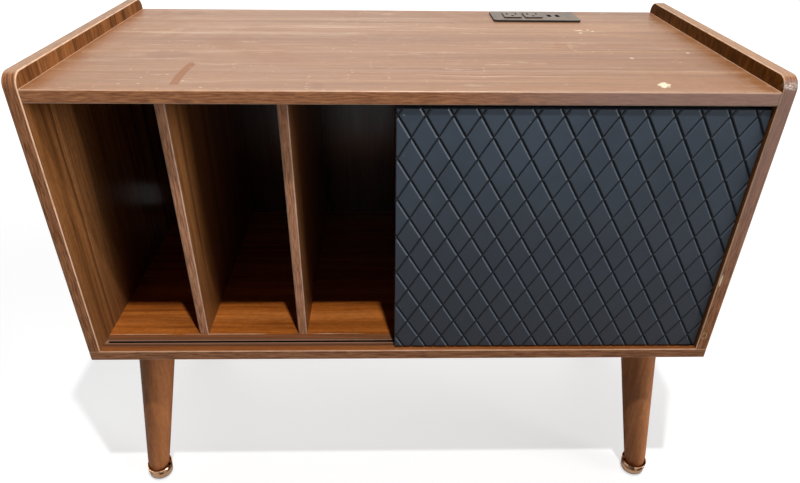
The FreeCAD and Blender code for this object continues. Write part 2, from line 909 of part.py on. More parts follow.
def build_ferrule(middle):
    """Upright cup round the leg's nose, with a rounded foot."""
    rim_level = glide_height + ferrule_height
    slope = (ferrule_rim_diameter - ferrule_foot_diameter) / ferrule_height
    cup = taper(ferrule_foot_diameter, ferrule_rim_diameter, middle, Z_AXIS, ferrule_height)
    foot_rim = [edge for edge in cup.Edges if edge.BoundBox.ZMax < glide_height + tiny]
    cup = cup.makeFillet(ferrule_round, foot_rim)
    space = taper(
        ferrule_foot_diameter + slope * ferrule_floor - 2 * ferrule_wall,
        ferrule_rim_diameter - 2 * ferrule_wall,
        middle + Z_AXIS * ferrule_floor, Z_AXIS, ferrule_height - ferrule_floor,
    )
    cup = cup.cut(space)
    rims = [edge for edge in cup.Edges if edge.BoundBox.ZMin > rim_level - tiny]
    return cup.makeFillet(ferrule_rim_round, rims)


def build_leg(name, side, end):
    middle_x = side * (half_width - leg_side_inset)
    middle_y = end * (cabinet_depth / 2 - leg_front_inset)
    down = Vector(side * spread, end * spread, -1).normalize()
    leg_start = Vector(middle_x, middle_y, plate_under) + down * leg_seat_gap
    length = leg_start.z / -down.z
    foot = leg_start + down * length
    rim_lean = spread * (glide_height + ferrule_height)

    bolt_start = leg_start + down * bolt_in_leg
    bolt_reach = (base_under + bolt_in_base - bolt_start.z) / -down.z
    bolt = rod(bolt_diameter, bolt_start, down * -1, bolt_reach)
    hanger_bolts.append(bolt)
    hole_start = Vector(middle_x, middle_y, base_under)
    bolt_holes.append(
        rod(bolt_diameter + bolt_clearance, hole_start, Z_AXIS, bolt_in_base + bolt_hole_spare)
    )

    leg_end = glide_height + ferrule_floor
    ferrule_middle = Vector(
        foot.x - side * (rim_lean + ferrule_shift), foot.y - end * rim_lean / 2, glide_height
    )
    glide_middle = ferrule_middle - Z_AXIS * glide_height
    glide_disc = rod(glide_diameter, glide_middle, Z_AXIS, glide_height)
    glide_pin = rod(glide_pin_diameter, glide_middle, Z_AXIS, leg_end + glide_pin_grip)
    leg = turned_leg(leg_start, down, length).common(floor_slab(leg_end))
    nodes[f"{name}_ferrule"] = cut_away(build_ferrule(ferrule_middle), [glide_pin])
    nodes[f"{name}_leg"] = cut_away(leg, [bolt, glide_pin])
    nodes[f"{name}_glide"] = fused(glide_disc, glide_pin)

    half = plate_size / 2
    plate = rounded_block(
        middle_x - half, middle_x + half, middle_y - half, middle_y + half,
        plate_under, base_under, plate_corner,
    )
    boss_length = leg_seat_gap + 2 * plate_thickness + plate_boss_diameter
    boss = rod(plate_boss_diameter, leg_start, down * -1, boss_length).common(floor_slab(0))
    screws = [
        screw(
            plate_screw_head, plate_thickness, plate_screw_diameter,
            Vector(
                middle_x + across * plate_screw_spacing / 2,
                middle_y + along * plate_screw_spacing / 2,
                plate_under,
            ),
            Z_AXIS, plate_screw_grip,
        )
        for across in SIDES
        for along in SIDES
    ]
    plate_screws.extend(screws)
    nodes[f"{name}_leg_plate"] = cut_away(fused(plate, boss), [bolt] + screws)


for end_name, end in ENDS:
    for hand_name, hand in HANDS:
        build_leg(f"{end_name}_{hand_name}", hand, end)
nodes["hanger_bolts"] = Part.makeCompound(hanger_bolts)
nodes["leg_plate_screws"] = Part.makeCompound(plate_screws)


# Cabinet boards, with the cuts that their fittings need

def side_panel(side):
    """Side panel that stands on the base board and ends above the tabletop as a rounded rail."""
    x0, x1 = sorted((side * inner_half, side * half_width))
    panel = block(x0, x1, front, rear, base_top, rail_top)
    upper_corners = [
        edge for edge in panel.Edges if edge.BoundBox.XLength > tiny and edge.BoundBox.ZMin > top_face
    ]
    panel = panel.makeFillet(rail_radius, upper_corners)
    rims = [
        edge
        for edge in panel.Edges
        if edge.BoundBox.XLength < tiny and edge.BoundBox.ZMax > base_top + tiny
    ]
    panel = panel.makeFillet(edge_round, rims)
    cuts = [back_groove()] + cam_bolts + top_dowels + long_screws
    if side > 0:
        cuts += pin_holes(*pin_walls[1])
    return cut_away(panel, cuts)


def base_panel():
    panel = block(-half_width, half_width, front, rear, base_under, base_top)
    panel = panel.makeFillet(edge_round, panel.Edges)
    cuts = [back_groove(), track_groove(base_top, 1, lower_slot_depth)]
    cuts += long_screws + board_screws + bolt_holes + plate_screws
    return cut_away(panel, cuts)


def top_panel():
    panel = block(-inner_half, inner_half, top_front, rear, top_under, top_face)
    long_edges = edges_along_x(panel, top_front) + edges_along_x(panel, rear)
    panel = panel.makeFillet(edge_round, long_edges)
    cuts = [back_groove(), track_groove(top_under, -1, upper_slot_depth), outlet_cutout]
    for side, y in cam_places:
        cuts += [cam_bolt_bore(side, y), cam_pocket(side, y)]
    return cut_away(panel, cuts + top_dowels + small_dowels)


def upright_board(middle, thickness):
    """Divider or partition between the base board and the tabletop."""
    board = block(
        middle - thickness / 2, middle + thickness / 2, board_front, board_rear, base_top, top_under
    )
    board = board.makeFillet(edge_round, upright_edges(board, board_front))
    return cut_away(board, board_screws + small_dowels + back_screws)


nodes["base_panel"] = base_panel()
nodes["top_panel"] = top_panel()
nodes["left_side_panel"] = side_panel(-1)
nodes["right_side_panel"] = side_panel(1)
for name, middle in zip(("left", "right"), divider_middles):
    nodes[f"{name}_record_divider"] = upright_board(middle, divider_board)
partition = upright_board(0.0, partition_board)
nodes["centre_partition"] = cut_away(partition, pin_holes(*pin_walls[0]))

os.makedirs("parts", exist_ok=True)
for name, shape in nodes.items():
    shape.exportStep(f"parts/{name}.step")
    print(name, len(shape.Solids), "solids", "valid" if shape.isValid() else "NOT VALID")
print(len(nodes), "nodes")
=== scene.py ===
"""Looks of the record stand: stage, light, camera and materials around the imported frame."""

import json
import math

import bpy
from mathutils import Matrix, Vector

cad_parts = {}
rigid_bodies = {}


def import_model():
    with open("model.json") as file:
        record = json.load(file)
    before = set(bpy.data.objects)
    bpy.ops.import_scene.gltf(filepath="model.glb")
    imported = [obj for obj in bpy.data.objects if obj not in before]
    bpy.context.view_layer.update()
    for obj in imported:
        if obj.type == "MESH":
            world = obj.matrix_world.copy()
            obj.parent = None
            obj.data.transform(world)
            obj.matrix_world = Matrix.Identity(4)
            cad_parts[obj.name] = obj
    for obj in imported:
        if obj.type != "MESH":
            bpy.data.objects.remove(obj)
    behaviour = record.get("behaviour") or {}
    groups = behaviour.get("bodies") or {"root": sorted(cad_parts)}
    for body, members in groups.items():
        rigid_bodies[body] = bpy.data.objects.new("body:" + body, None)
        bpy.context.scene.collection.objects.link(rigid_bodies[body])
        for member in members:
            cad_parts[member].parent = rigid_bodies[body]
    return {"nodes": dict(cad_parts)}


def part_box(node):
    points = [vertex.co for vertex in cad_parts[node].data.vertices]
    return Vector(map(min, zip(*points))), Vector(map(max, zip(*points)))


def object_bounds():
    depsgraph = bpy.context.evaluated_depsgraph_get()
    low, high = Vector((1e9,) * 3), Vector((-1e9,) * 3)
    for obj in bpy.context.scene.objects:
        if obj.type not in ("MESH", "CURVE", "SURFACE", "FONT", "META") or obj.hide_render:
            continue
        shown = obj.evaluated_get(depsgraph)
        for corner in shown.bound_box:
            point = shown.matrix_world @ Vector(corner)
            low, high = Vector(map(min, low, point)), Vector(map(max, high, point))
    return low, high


for startup_object in list(bpy.data.objects):
    bpy.data.objects.remove(startup_object)
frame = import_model()
cad_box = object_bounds()
nodes = frame["nodes"]

# Places read from the frame, in metres
front_face = cad_box[0].y
right_edge = cad_box[1].x
rail_top = cad_box[1].z
base_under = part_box("base_panel")[0].z
base_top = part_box("base_panel")[1].z
top_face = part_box("top_panel")[1].z
tabletop_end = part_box("top_panel")[1].x
divider_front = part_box("left_record_divider")[0].y
back_middle = (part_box("back_panel")[0].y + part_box("back_panel")[1].y) / 2
door_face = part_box("sliding_door")[0].y
track_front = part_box("lower_track")[0].y
track_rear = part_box("lower_track")[1].y
track_middle = (track_front + track_rear) / 2
ferrule_foot, ferrule_rim = (corner.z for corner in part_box("front_left_ferrule"))

# The screen's colour curve: a straight toe, then a power with an offset
screen_levels = 255
toe_end = 0.04045
toe_slope = 12.92
curve_offset = 0.055
curve_power = 2.4


def srgb(red, green, blue):
    """A colour written as screen values from 0 to 255, as the linear colour that a shader takes."""
    linear = []
    for value in (red, green, blue):
        share = value / screen_levels
        if share <= toe_end:
            linear.append(share / toe_slope)
        else:
            linear.append(((share + curve_offset) / (1 + curve_offset)) ** curve_power)
    return (*linear, 1.0)


# Colours of the boards
walnut_light = srgb(201, 120, 55)
walnut_middle = srgb(174, 96, 34)
walnut_dark = srgb(98, 47, 16)
walnut_pore = srgb(60, 28, 12)
panel_light = srgb(170, 114, 69)
panel_middle = srgb(144, 92, 50)
panel_dark = srgb(84, 49, 24)
# Darker copies of the panel tones, for the whole right side panel: painted shade
shaded_light = srgb(142, 88, 46)
shaded_middle = srgb(116, 66, 30)
shaded_dark = srgb(70, 37, 15)
# Painted shade on the inner face of the right panel's rail
rail_shade_dark = srgb(76, 44, 8)
rail_shade_light = srgb(114, 70, 18)
tabletop_light = srgb(181, 132, 95)
tabletop_middle = srgb(168, 119, 81)
tabletop_dark = srgb(132, 84, 48)
tabletop_pore = srgb(112, 66, 36)
back_light = srgb(72, 40, 20)
back_dark = srgb(40, 20, 9)
hardboard = srgb(112, 76, 46)
hardboard_dark = srgb(84, 54, 32)
hardboard_pale = srgb(138, 98, 62)

# Dark and light streaks of the boards' edge bands
tabletop_band = (srgb(124, 72, 38), srgb(186, 124, 80))
base_band = (srgb(112, 70, 45), srgb(168, 115, 80))
side_band = (srgb(116, 72, 47), srgb(174, 120, 84))
divider_band = (srgb(142, 94, 68), srgb(202, 146, 110))

# Colours of wear, dirt and dust on the boards, of their browner ends, and of the painted sheen and
# highlights on their edges
tabletop_end_brown = srgb(150, 94, 50)
tabletop_wiped = srgb(140, 88, 50)
scuff_pale = srgb(244, 226, 192)
scuff_white = srgb(240, 228, 214)
dust_pale = srgb(232, 202, 172)
# Painted sheen of light on the front edges
mauve_sheen = srgb(166, 139, 131)
# Pale rubbing and painted highlight on the rounded edges
edge_rub_and_highlight = srgb(236, 196, 164)
white_rub_and_highlight = srgb(232, 214, 202)

# Colours of the door, the legs and the ferrules, with painted shade and highlights on the door and the
# ferrules
slate = srgb(57, 67, 79)
slate_light = srgb(65, 76, 89)
slate_bottom_shade = srgb(47, 51, 59)
slate_dust = srgb(140, 150, 162)
groove_shade = srgb(3, 4, 6)
groove_lit = srgb(50, 63, 78)
leg_light = srgb(190, 124, 79)
leg_middle = srgb(172, 110, 67)
leg_dark = srgb(128, 79, 46)
copper_bright = srgb(238, 178, 138)
copper_dull = srgb(190, 126, 90)
copper_shade_and_dirt = srgb(70, 38, 20)
copper_highlight = srgb(255, 204, 160)

# Colours of the tracks, the outlet strip and the fittings, with the painted highlight and shade of the
# track and the painted shade of the outlet strip
black = srgb(26, 26, 28)
black_worn = srgb(44, 44, 47)
black_deep = srgb(9, 9, 11)
outlet_worn = srgb(84, 68, 55)
outlet_dusty = srgb(124, 101, 82)
brown = srgb(126, 86, 62)
brown_dark = srgb(98, 64, 44)
track_lip_highlight = srgb(182, 138, 114)
track_shade_and_dirt = srgb(5, 3, 2)
nylon = srgb(226, 222, 210)
nylon_shade = srgb(200, 194, 180)
zinc = srgb(186, 188, 192)
zinc_dull = srgb(140, 143, 148)
beech_light = srgb(214, 178, 132)
beech_dark = srgb(180, 138, 92)
board_green = srgb(20, 86, 58)
board_dark = srgb(12, 58, 40)

# Tones of each wood: light, middle, dark and pores
board_tones = (walnut_light, walnut_middle, walnut_dark, walnut_pore)
panel_tones = (panel_light, panel_middle, panel_dark, walnut_pore)
shaded_tones = (shaded_light, shaded_middle, shaded_dark, walnut_pore)
tabletop_tones = (tabletop_light, tabletop_middle, tabletop_dark, tabletop_pore)
back_tones = (back_light, back_light, back_dark, back_dark)
leg_tones = (leg_light, leg_middle, leg_dark, walnut_pore)
beech_tones = (beech_light, beech_light, beech_dark, beech_dark)

# Sockets of a mix node that carry colours
first_colour = 6
second_colour = 7
mixed_colour = 2


class Graph:
    """A tree of shader nodes: each method adds to it and gives back an output."""

    def __init__(self, tree):
        self.tree = tree

    def add(self, kind, **settings):
        """A new node, which is given back itself."""
        node = self.tree.nodes.new(kind)
        for setting, value in settings.items():
            setattr(node, setting, value)
        return node

    def feed(self, socket, value):
        """Links an output to a socket, or sets the socket to a plain value."""
        if isinstance(value, bpy.types.NodeSocket):
            self.tree.links.new(value, socket)
        else:
            socket.default_value = value

    def math(self, operation, first, second=0.0):
        """An operation on one or two values."""
        node = self.add("ShaderNodeMath", operation=operation)
        self.feed(node.inputs[0], first)
        self.feed(node.inputs[1], second)
        return node.outputs["Value"]

    def product(self, first, *others):
        """All the values times each other."""
        for other in others:
            first = self.math("MULTIPLY", first, other)
        return first

    def fade(self, value, low, high, start=0.0, end=1.0):
        """Goes smoothly from start, where the value is low, to end, where it is high."""
        node = self.add("ShaderNodeMapRange", interpolation_type="SMOOTHSTEP")
        self.feed(node.inputs["Value"], value)
        node.inputs["From Min"].default_value = low
        node.inputs["From Max"].default_value = high
        node.inputs["To Min"].default_value = start
        node.inputs["To Max"].default_value = end
        return node.outputs["Result"]

    def fall(self, value, low, high, start=1.0):
        """Goes smoothly from start, where the value is low, to 0, where it is high."""
        return self.fade(value, low, high, start, 0.0)

    def past(self, value, edge, soft):
        """0 before an edge and 1 past it, with a step as soft as that half width."""
        return self.fade(value, edge - soft, edge + soft)

    def mix(self, share, first, second):
        """Goes from the first colour, where the share is 0, to the second, where it is 1."""
        node = self.add("ShaderNodeMix", data_type="RGBA")
        self.feed(node.inputs["Factor"], share)
        self.feed(node.inputs[first_colour], first)
        self.feed(node.inputs[second_colour], second)
        return node.outputs[mixed_colour]

    def lay(self, colour, tone, value, low, high, strength=1.0):
        """Lays a tone over a colour, more and more as the value goes from low to high."""
        return self.mix(self.fade(value, low, high, 0.0, strength), colour, tone)

    def part_along(self, vector, axis):
        """The part of a vector along one of the axes x, y, z."""
        node = self.add("ShaderNodeSeparateXYZ")
        self.feed(node.inputs["Vector"], vector)
        return node.outputs[axis.upper()]

    def seen_directly(self):
        """1 for camera and transmission rays, which show the white background, and 0 for the rest."""
        rays = self.add("ShaderNodeLightPath")
        return self.math("MAXIMUM", rays.outputs["Is Camera Ray"], rays.outputs["Is Transmission Ray"])


# Waves of a ragged edge in half a mark's length, and how specks are chosen and sized
mark_waves = 2.4
choice_soft = 0.02
least_speck = 0.3


class Paint(Graph):
    """A material in the making, laid out on the place and the faces of the piece that wears it."""

    def __init__(self, name, specular=0.5, metallic=0.0):
        self.material = bpy.data.materials.new(name)
        self.material.use_nodes = True
        super().__init__(self.material.node_tree)
        self.tree.nodes.clear()
        self.shader = self.add("ShaderNodeBsdfPrincipled")
        self.shader.inputs["Specular IOR Level"].default_value = specular
        self.shader.inputs["Metallic"].default_value = metallic
        surface = self.add("ShaderNodeOutputMaterial").inputs["Surface"]
        self.feed(surface, self.shader.outputs["BSDF"])
        self.place = self.add("ShaderNodeTexCoord").outputs["Object"]

    def along(self, axis):
        """The piece's own place along an axis."""
        return self.part_along(self.place, axis)

    def looking(self, axis):
        """How squarely a face looks along an axis, from -1 to 1."""
        return self.part_along(self.add("ShaderNodeTexCoord").outputs["Normal"], axis)

    def facing(self, axis):
        """How squarely a face looks along an axis, either way, from 0 to 1."""
        return self.math("ABSOLUTE", self.looking(axis))

    def rounded_edges(self, thickness):
        """1 on the rounded edges between a board's faces and its edge faces, 0 elsewhere."""
        squareness = self.facing(thickness)
        return self.product(self.fade(squareness, 0.25, 0.5), self.fall(squareness, 0.85, 0.95))

    def mapped(self, scale, shift=(0, 0, 0), turn=(0, 0, 0), kind="POINT", place=None):
        """The piece's own place, or another one, scaled, shifted and turned."""
        node = self.add("ShaderNodeMapping", vector_type=kind)
        self.feed(node.inputs["Vector"], place or self.place)
        node.inputs["Location"].default_value = shift
        node.inputs["Rotation"].default_value = turn
        node.inputs["Scale"].default_value = scale
        return node.outputs["Vector"]

    def noise(self, scale, detail, roughness=0.55, distortion=0.0, place=None):
        """A noise with that many waves in each metre."""
        node = self.add("ShaderNodeTexNoise")
        self.feed(node.inputs["Vector"], place or self.place)
        node.inputs["Scale"].default_value = scale
        node.inputs["Detail"].default_value = detail
        node.inputs["Roughness"].default_value = roughness
        node.inputs["Distortion"].default_value = distortion
        return node.outputs[0]

    def drawn_out(self, waves, detail, roughness, shift=(0, 0, 0), place=None):
        """A noise with its own count of waves in each metre along x, y and z."""
        return self.noise(1.0, detail, roughness, place=self.mapped(waves, shift, place=place))

    def bent(self, source, amount, waves=5.0):
        """The piece's own place, pushed aside by a noise so that straight lines wander."""
        node = self.add("ShaderNodeTexNoise")
        self.feed(node.inputs["Vector"], source)
        node.inputs["Scale"].default_value = waves
        push = self.add("ShaderNodeVectorMath", operation="MULTIPLY_ADD")
        self.feed(push.inputs[0], node.outputs["Color"])
        push.inputs[1].default_value = (amount, amount, amount)
        self.feed(push.inputs[2], self.place)
        return push.outputs["Vector"]

    def rings(self, place, axis, scale, distortion, detail=2.0, detail_scale=1.5):
        """Year rings about an axis, which show as long arches on a flat board."""
        node = self.add("ShaderNodeTexWave", wave_type="RINGS", rings_direction=axis.upper())
        self.feed(node.inputs["Vector"], place)
        node.inputs["Scale"].default_value = scale
        node.inputs["Distortion"].default_value = distortion
        node.inputs["Detail"].default_value = detail
        node.inputs["Detail Scale"].default_value = detail_scale
        return node.outputs["Fac"]

    def oval(self, middle, half_sizes, turn=0.0, place=None):
        """1 in the middle of an oval, falling to 0 at its rim."""
        node = self.add("ShaderNodeTexGradient", gradient_type="SPHERICAL")
        self.feed(node.inputs["Vector"], self.mapped(half_sizes, middle, (0, 0, turn), "TEXTURE", place))
        return node.outputs["Fac"]

    def spot(self, middle, half_sizes, ragged, soft, turn=0.0):
        """1 inside an oval mark, whose edges stray by the ragged length, and 0 outside it."""
        strayed = self.bent(self.place, ragged, mark_waves / max(half_sizes[:2]))
        strayed_middle = [value + ragged / 2 for value in middle]
        return self.fade(self.oval(strayed_middle, half_sizes, turn, strayed), 0.0, soft)

    def ring(self, middle, half_sizes):
        """1 on the rim of an oval, 0 inside and outside it."""
        inwards = self.oval(middle, half_sizes)
        return self.product(self.fade(inwards, 0.02, 0.1), self.fall(inwards, 0.16, 0.26))

    def stroke(self, middle, half_length, half_width, bend):
        """1 inside a wiped stroke along y, which bows by bend towards its ends, and 0 outside it."""
        along = self.math("DIVIDE", self.math("SUBTRACT", self.along("y"), middle[1]), half_length)
        bow = self.product(along, along, bend)
        aside = self.math("SUBTRACT", self.math("SUBTRACT", self.along("x"), middle[0]), bow)
        within = self.fall(self.math("ABSOLUTE", along), 0.86, 1.0)
        return self.product(within, self.fall(self.math("ABSOLUTE", aside), 0.75 * half_width, half_width))

    def specks(self, cells, size, share, stretch=1.0, stray=0.0, turn=(0, 0, 0)):
        """Scattered dots: cells in each metre, a dot's size in cells, the share with one, stretch in x."""
        place = self.bent(self.place, stray) if stray else self.place
        node = self.add("ShaderNodeTexVoronoi", voronoi_dimensions="2D")
        self.feed(node.inputs["Vector"], self.mapped((1 / stretch, 1, 1), turn=turn, place=place))
        node.inputs["Scale"].default_value = cells
        pick = self.add("ShaderNodeSeparateColor")
        self.feed(pick.inputs["Color"], node.outputs["Color"])
        chosen = self.fade(pick.outputs["Red"], 1 - share, 1 - share + choice_soft)
        reach = self.math("ADD", pick.outputs["Green"], least_speck)
        near = self.fall(self.math("DIVIDE", node.outputs["Distance"], reach), 0.5 * size, size)
        return self.product(near, chosen)

    def uneven(self, value, smooth, rough):
        """A roughness that follows a noise from smooth to rough."""
        return self.fade(value, 0.3, 0.7, smooth, rough)

    def bump(self, height, depth, strength=1.0):
        """Gives the surface a relief of that depth."""
        node = self.add("ShaderNodeBump")
        self.feed(node.inputs["Height"], height)
        node.inputs["Distance"].default_value = depth
        node.inputs["Strength"].default_value = strength
        self.feed(self.shader.inputs["Normal"], node.outputs["Normal"])

    def finish(self, colour, roughness):
        """The finished material."""
        self.feed(self.shader.inputs["Base Color"], colour)
        self.feed(self.shader.inputs["Roughness"], roughness)
        return self.material


def wear_coat(material, *names):
    """Gives the material to the CAD nodes of those names."""
    for name in names:
        mesh = nodes[name].data
        mesh.materials.clear()
        mesh.materials.append(material)


# Relief of each surface, in metres
wood_relief = 0.00012
fine_wood_relief = 0.0001
spray_relief = 0.00008
grit_relief = 0.00005
outlet_relief = 0.00004

# How far the grain wanders, in metres
grain_bend = 0.006


def grain_scale(grain, along, across):
    """Scale of a texture that is drawn out along one of the axes x, y, z."""
    scale = [across, across, across]
    scale["xyz".index(grain)] = along
    return tuple(scale)


def wood_colour(paint, grain, shift, tones, contrast=1.0):
    """Colour, streaks and height of streaked, finely pored wood with its grain along an axis."""
    light, middle, dark, pore = tones

    def layer(along, across, detail, roughness, place=None):
        return paint.drawn_out(grain_scale(grain, along, across), detail, roughness, shift, place)

    bent = paint.bent(paint.mapped(grain_scale(grain, along=2.5, across=9), shift), grain_bend)
    broad = layer(along=1.4, across=36, detail=6, roughness=0.66, place=bent)
    lines = layer(along=1.2, across=120, detail=3, roughness=0.5, place=bent)
    fibre = layer(along=6, across=380, detail=2, roughness=0.6, place=bent)
    pores = layer(along=18, across=800, detail=2, roughness=0.5)
    threads = layer(along=0.9, across=210, detail=2, roughness=0.5, place=bent)
    mottle = layer(along=130, across=230, detail=4, roughness=0.7)
    arches = paint.mapped(grain_scale(grain, along=0.12, across=1), shift, place=bent)
    figure = paint.rings(arches, grain, scale=8, distortion=2.5)
    colour = paint.lay(middle, light, broad, 0.42, 0.64)
    colour = paint.mix(paint.fall(broad, 0.30, 0.48, start=0.8 * contrast), colour, dark)
    colour = paint.lay(colour, dark, figure, 0.55, 1.0, strength=0.3 * contrast)
    colour = paint.lay(colour, dark, lines, 0.56, 0.68, strength=0.6 * contrast)
    colour = paint.lay(colour, dark, fibre, 0.46, 0.70, strength=0.4 * contrast)
    colour = paint.lay(colour, pore, pores, 0.60, 0.74, strength=0.5 * contrast)
    colour = paint.lay(colour, light, threads, 0.60, 0.70, strength=0.35)
    colour = paint.lay(colour, dark, mottle, 0.40, 0.62, strength=0.22)
    height = paint.product(paint.math("SUBTRACT", fibre, pores), 0.5)
    return colour, broad, height


# Gloss of the boards: how strongly they reflect and how rough they are
plain_gloss = (0.12, 0.34)
top_gloss = (0.53, 0.36)
left_gloss = (0.02, 0.24)
right_gloss = (0.03, 0.4)
gloss_spread = 0.04

# Pale rubbing and painted highlight on the boards' rounded edges: its strength and its tone
plain_rub_and_highlight = (1.0, edge_rub_and_highlight)
top_rub_and_highlight = (0.55, edge_rub_and_highlight)
divider_rub_and_highlight = (0.5, white_rub_and_highlight)
base_rub_and_highlight = (0.75, edge_rub_and_highlight)


def walnut(node, axes, shift, tones, band, contrast=1.0, gloss=plain_gloss, wear_and_painted_light=None, rub_and_highlight=plain_rub_and_highlight):
    """Satin walnut laminate with banded edges for a CAD board; axes name its grain and its thickness."""
    grain, thickness = axes
    specular, middle_roughness = gloss
    band_dark, band_light = band
    rub_and_highlight_strength, rub_and_highlight_tone = rub_and_highlight
    paint = Paint(f"walnut_{node}", specular)
    colour, broad, height = wood_colour(paint, grain, shift, tones, contrast)
    roughness = paint.uneven(broad, middle_roughness - gloss_spread, middle_roughness + gloss_spread)
    band_waves = grain_scale(thickness, along=620, across=48)
    streaks = paint.drawn_out(band_waves, detail=4, roughness=0.7, shift=shift)
    on_edge = paint.fall(paint.facing(thickness), 0.4, 0.6)
    colour = paint.mix(on_edge, colour, paint.lay(band_dark, band_light, streaks, 0.34, 0.64))
    if thickness == "x":
        level = paint.fade(paint.facing("z"), 0.8, 0.98, end=0.3)
        colour = paint.mix(paint.product(on_edge, level), colour, dust_pale)
    # Pale rubbed edges with a painted highlight, on the rounded edges
    rub_and_highlight_mask = paint.noise(60, detail=4, roughness=0.6)
    rub_and_highlight_mask = paint.fade(rub_and_highlight_mask, 0.3, 0.6, 0.6 * rub_and_highlight_strength, rub_and_highlight_strength)
    colour = paint.mix(paint.product(paint.rounded_edges(thickness), rub_and_highlight_mask), colour, rub_and_highlight_tone)
    if wear_and_painted_light:
        colour, roughness = wear_and_painted_light(paint, colour, roughness)
    paint.bump(height, wood_relief, strength=0.35)
    wear_coat(paint.finish(colour, roughness), node)


def painted_front_sheen(paint, colour, axis, sheen_start_place, sheen_full_place):
    """Painted sheen: greys the front edge of a board along an axis, from the place where the sheen starts
    to the place where it is full.
    """
    on_front = paint.fade(paint.facing("y"), 0.5, 0.8)
    share = paint.product(on_front, paint.fade(paint.along(axis), sheen_start_place, sheen_full_place, end=0.6))
    return paint.mix(share, colour, mauve_sheen)


# Height of the painted shade above the floor of the record slots
slot_shade_height = 0.24


def slot_wall_shade(paint, colour, roughness):
    """Painted shade: darker towards the floor of the record slots."""
    low = paint.fall(paint.along("z"), base_top, base_top + slot_shade_height, start=0.55)
    low = paint.product(low, paint.fade(paint.facing("x"), 0.5, 0.8))
    return paint.mix(low, colour, panel_dark), roughness


# Marks on the right side panel at its front, and the painted shade on the inner half of its rail
corner_rub_middle = (right_edge - 0.0085, front_face, rail_top - 0.0095)
corner_rub_half_sizes = (0.0105, 0.012, 0.0042)
corner_rub_ragged = 0.005
scratch_middle = (right_edge - 0.0125, front_face, 0.380)
scratch_half_sizes = (0.0014, 0.004, 0.011)
scratch_ragged = 0.003
ring_mark_middle = (right_edge - 0.010, front_face, 0.293)
ring_mark_half_sizes = (0.0035, 0.004, 0.0055)
rail_soft = 0.001
inner_half_start = right_edge - 0.005
inner_half_full = right_edge - 0.010


def right_panel_wear_and_painted_light(paint, colour, roughness):
    """Painted shade on the rail's inner face, painted sheen on the front edge towards the top, a pale
    rubbed corner, a scratch and a round mark.
    """
    rail = paint.past(paint.along("z"), top_face, rail_soft)
    inner_half = paint.fall(paint.along("x"), inner_half_full, inner_half_start)
    inner_face = paint.fade(paint.facing("x"), 0.9, 0.98, end=0.9)
    # Painted shade: the inner face of the rail is darker
    painted_shade_noise = paint.drawn_out((60, 120, 40), detail=4, roughness=0.7)
    rail_painted_shade = paint.lay(rail_shade_dark, rail_shade_light, painted_shade_noise, 0.4, 0.66)
    colour = paint.mix(paint.product(rail, inner_half, inner_face), colour, rail_painted_shade)
    # Painted sheen: the front edge greys towards the top
    colour = painted_front_sheen(paint, colour, "z", base_top, top_face)
    rub = paint.spot(corner_rub_middle, corner_rub_half_sizes, corner_rub_ragged, soft=0.6)
    flecks = paint.fade(paint.drawn_out((420, 420, 700), detail=3, roughness=0.6), 0.40, 0.58)
    colour = paint.mix(paint.product(rub, flecks, 0.85), colour, scuff_white)
    scratch = paint.spot(scratch_middle, scratch_half_sizes, scratch_ragged, soft=0.4)
    colour = paint.mix(paint.product(scratch, 0.8), colour, scuff_pale)
    ring_mark = paint.ring(ring_mark_middle, ring_mark_half_sizes)
    colour = paint.mix(paint.product(ring_mark, 0.5), colour, scuff_pale)
    return colour, roughness


# Wear, browner ends and painted sheen of the tabletop: how deep and far they reach
mark_depth = 0.0006
mark_full_depth = 0.0003
mark_half_height = 0.02
front_sheen_place = 0.6 * right_edge
line_bend = 0.016
dust_stray = 0.03
end_brown_reach = 0.09
end_brown_stray = 2.2 * end_brown_reach
end_brown_start = tabletop_end + 0.3 * end_brown_reach
end_brown_full = tabletop_end + 1.3 * end_brown_reach
end_line = 0.0010
end_line_soft = 0.3 * end_line

# Single marks on the tabletop, each at the place where the photograph shows it
swipe_middle = (-0.2385, -0.133)
swipe_half_length = 0.042
swipe_half_width = 0.0052
swipe_bend = 0.0025
chip_middle = (0.272, -0.1665, top_face)
chip_half_sizes = (0.0056, 0.0100, mark_half_height)
chip_ragged = 0.011
chip_turn = math.radians(-24)
nick_half_depth = 0.0028
nick_ragged = 0.003
nicks = (
    ((0.244, 0.070), 0.0075),
    ((0.243, 0.056), 0.0030),
    ((0.262, 0.066), 0.0024),
    ((0.257, 0.073), 0.0030),
    ((0.272, -0.065), 0.0030),
    ((0.349, -0.041), 0.0028),
)
patches = (
    ((-0.303, 0.162), (0.021, 0.017)),
    ((-0.341, 0.163), (0.008, 0.009)),
    ((-0.275, -0.060), (0.032, 0.019)),
    ((-0.090, -0.173), (0.008, 0.011)),
)
cup_ring_middle = (0.236, -0.018, top_face)
cup_ring_half_sizes = (0.030, 0.040, mark_half_height)


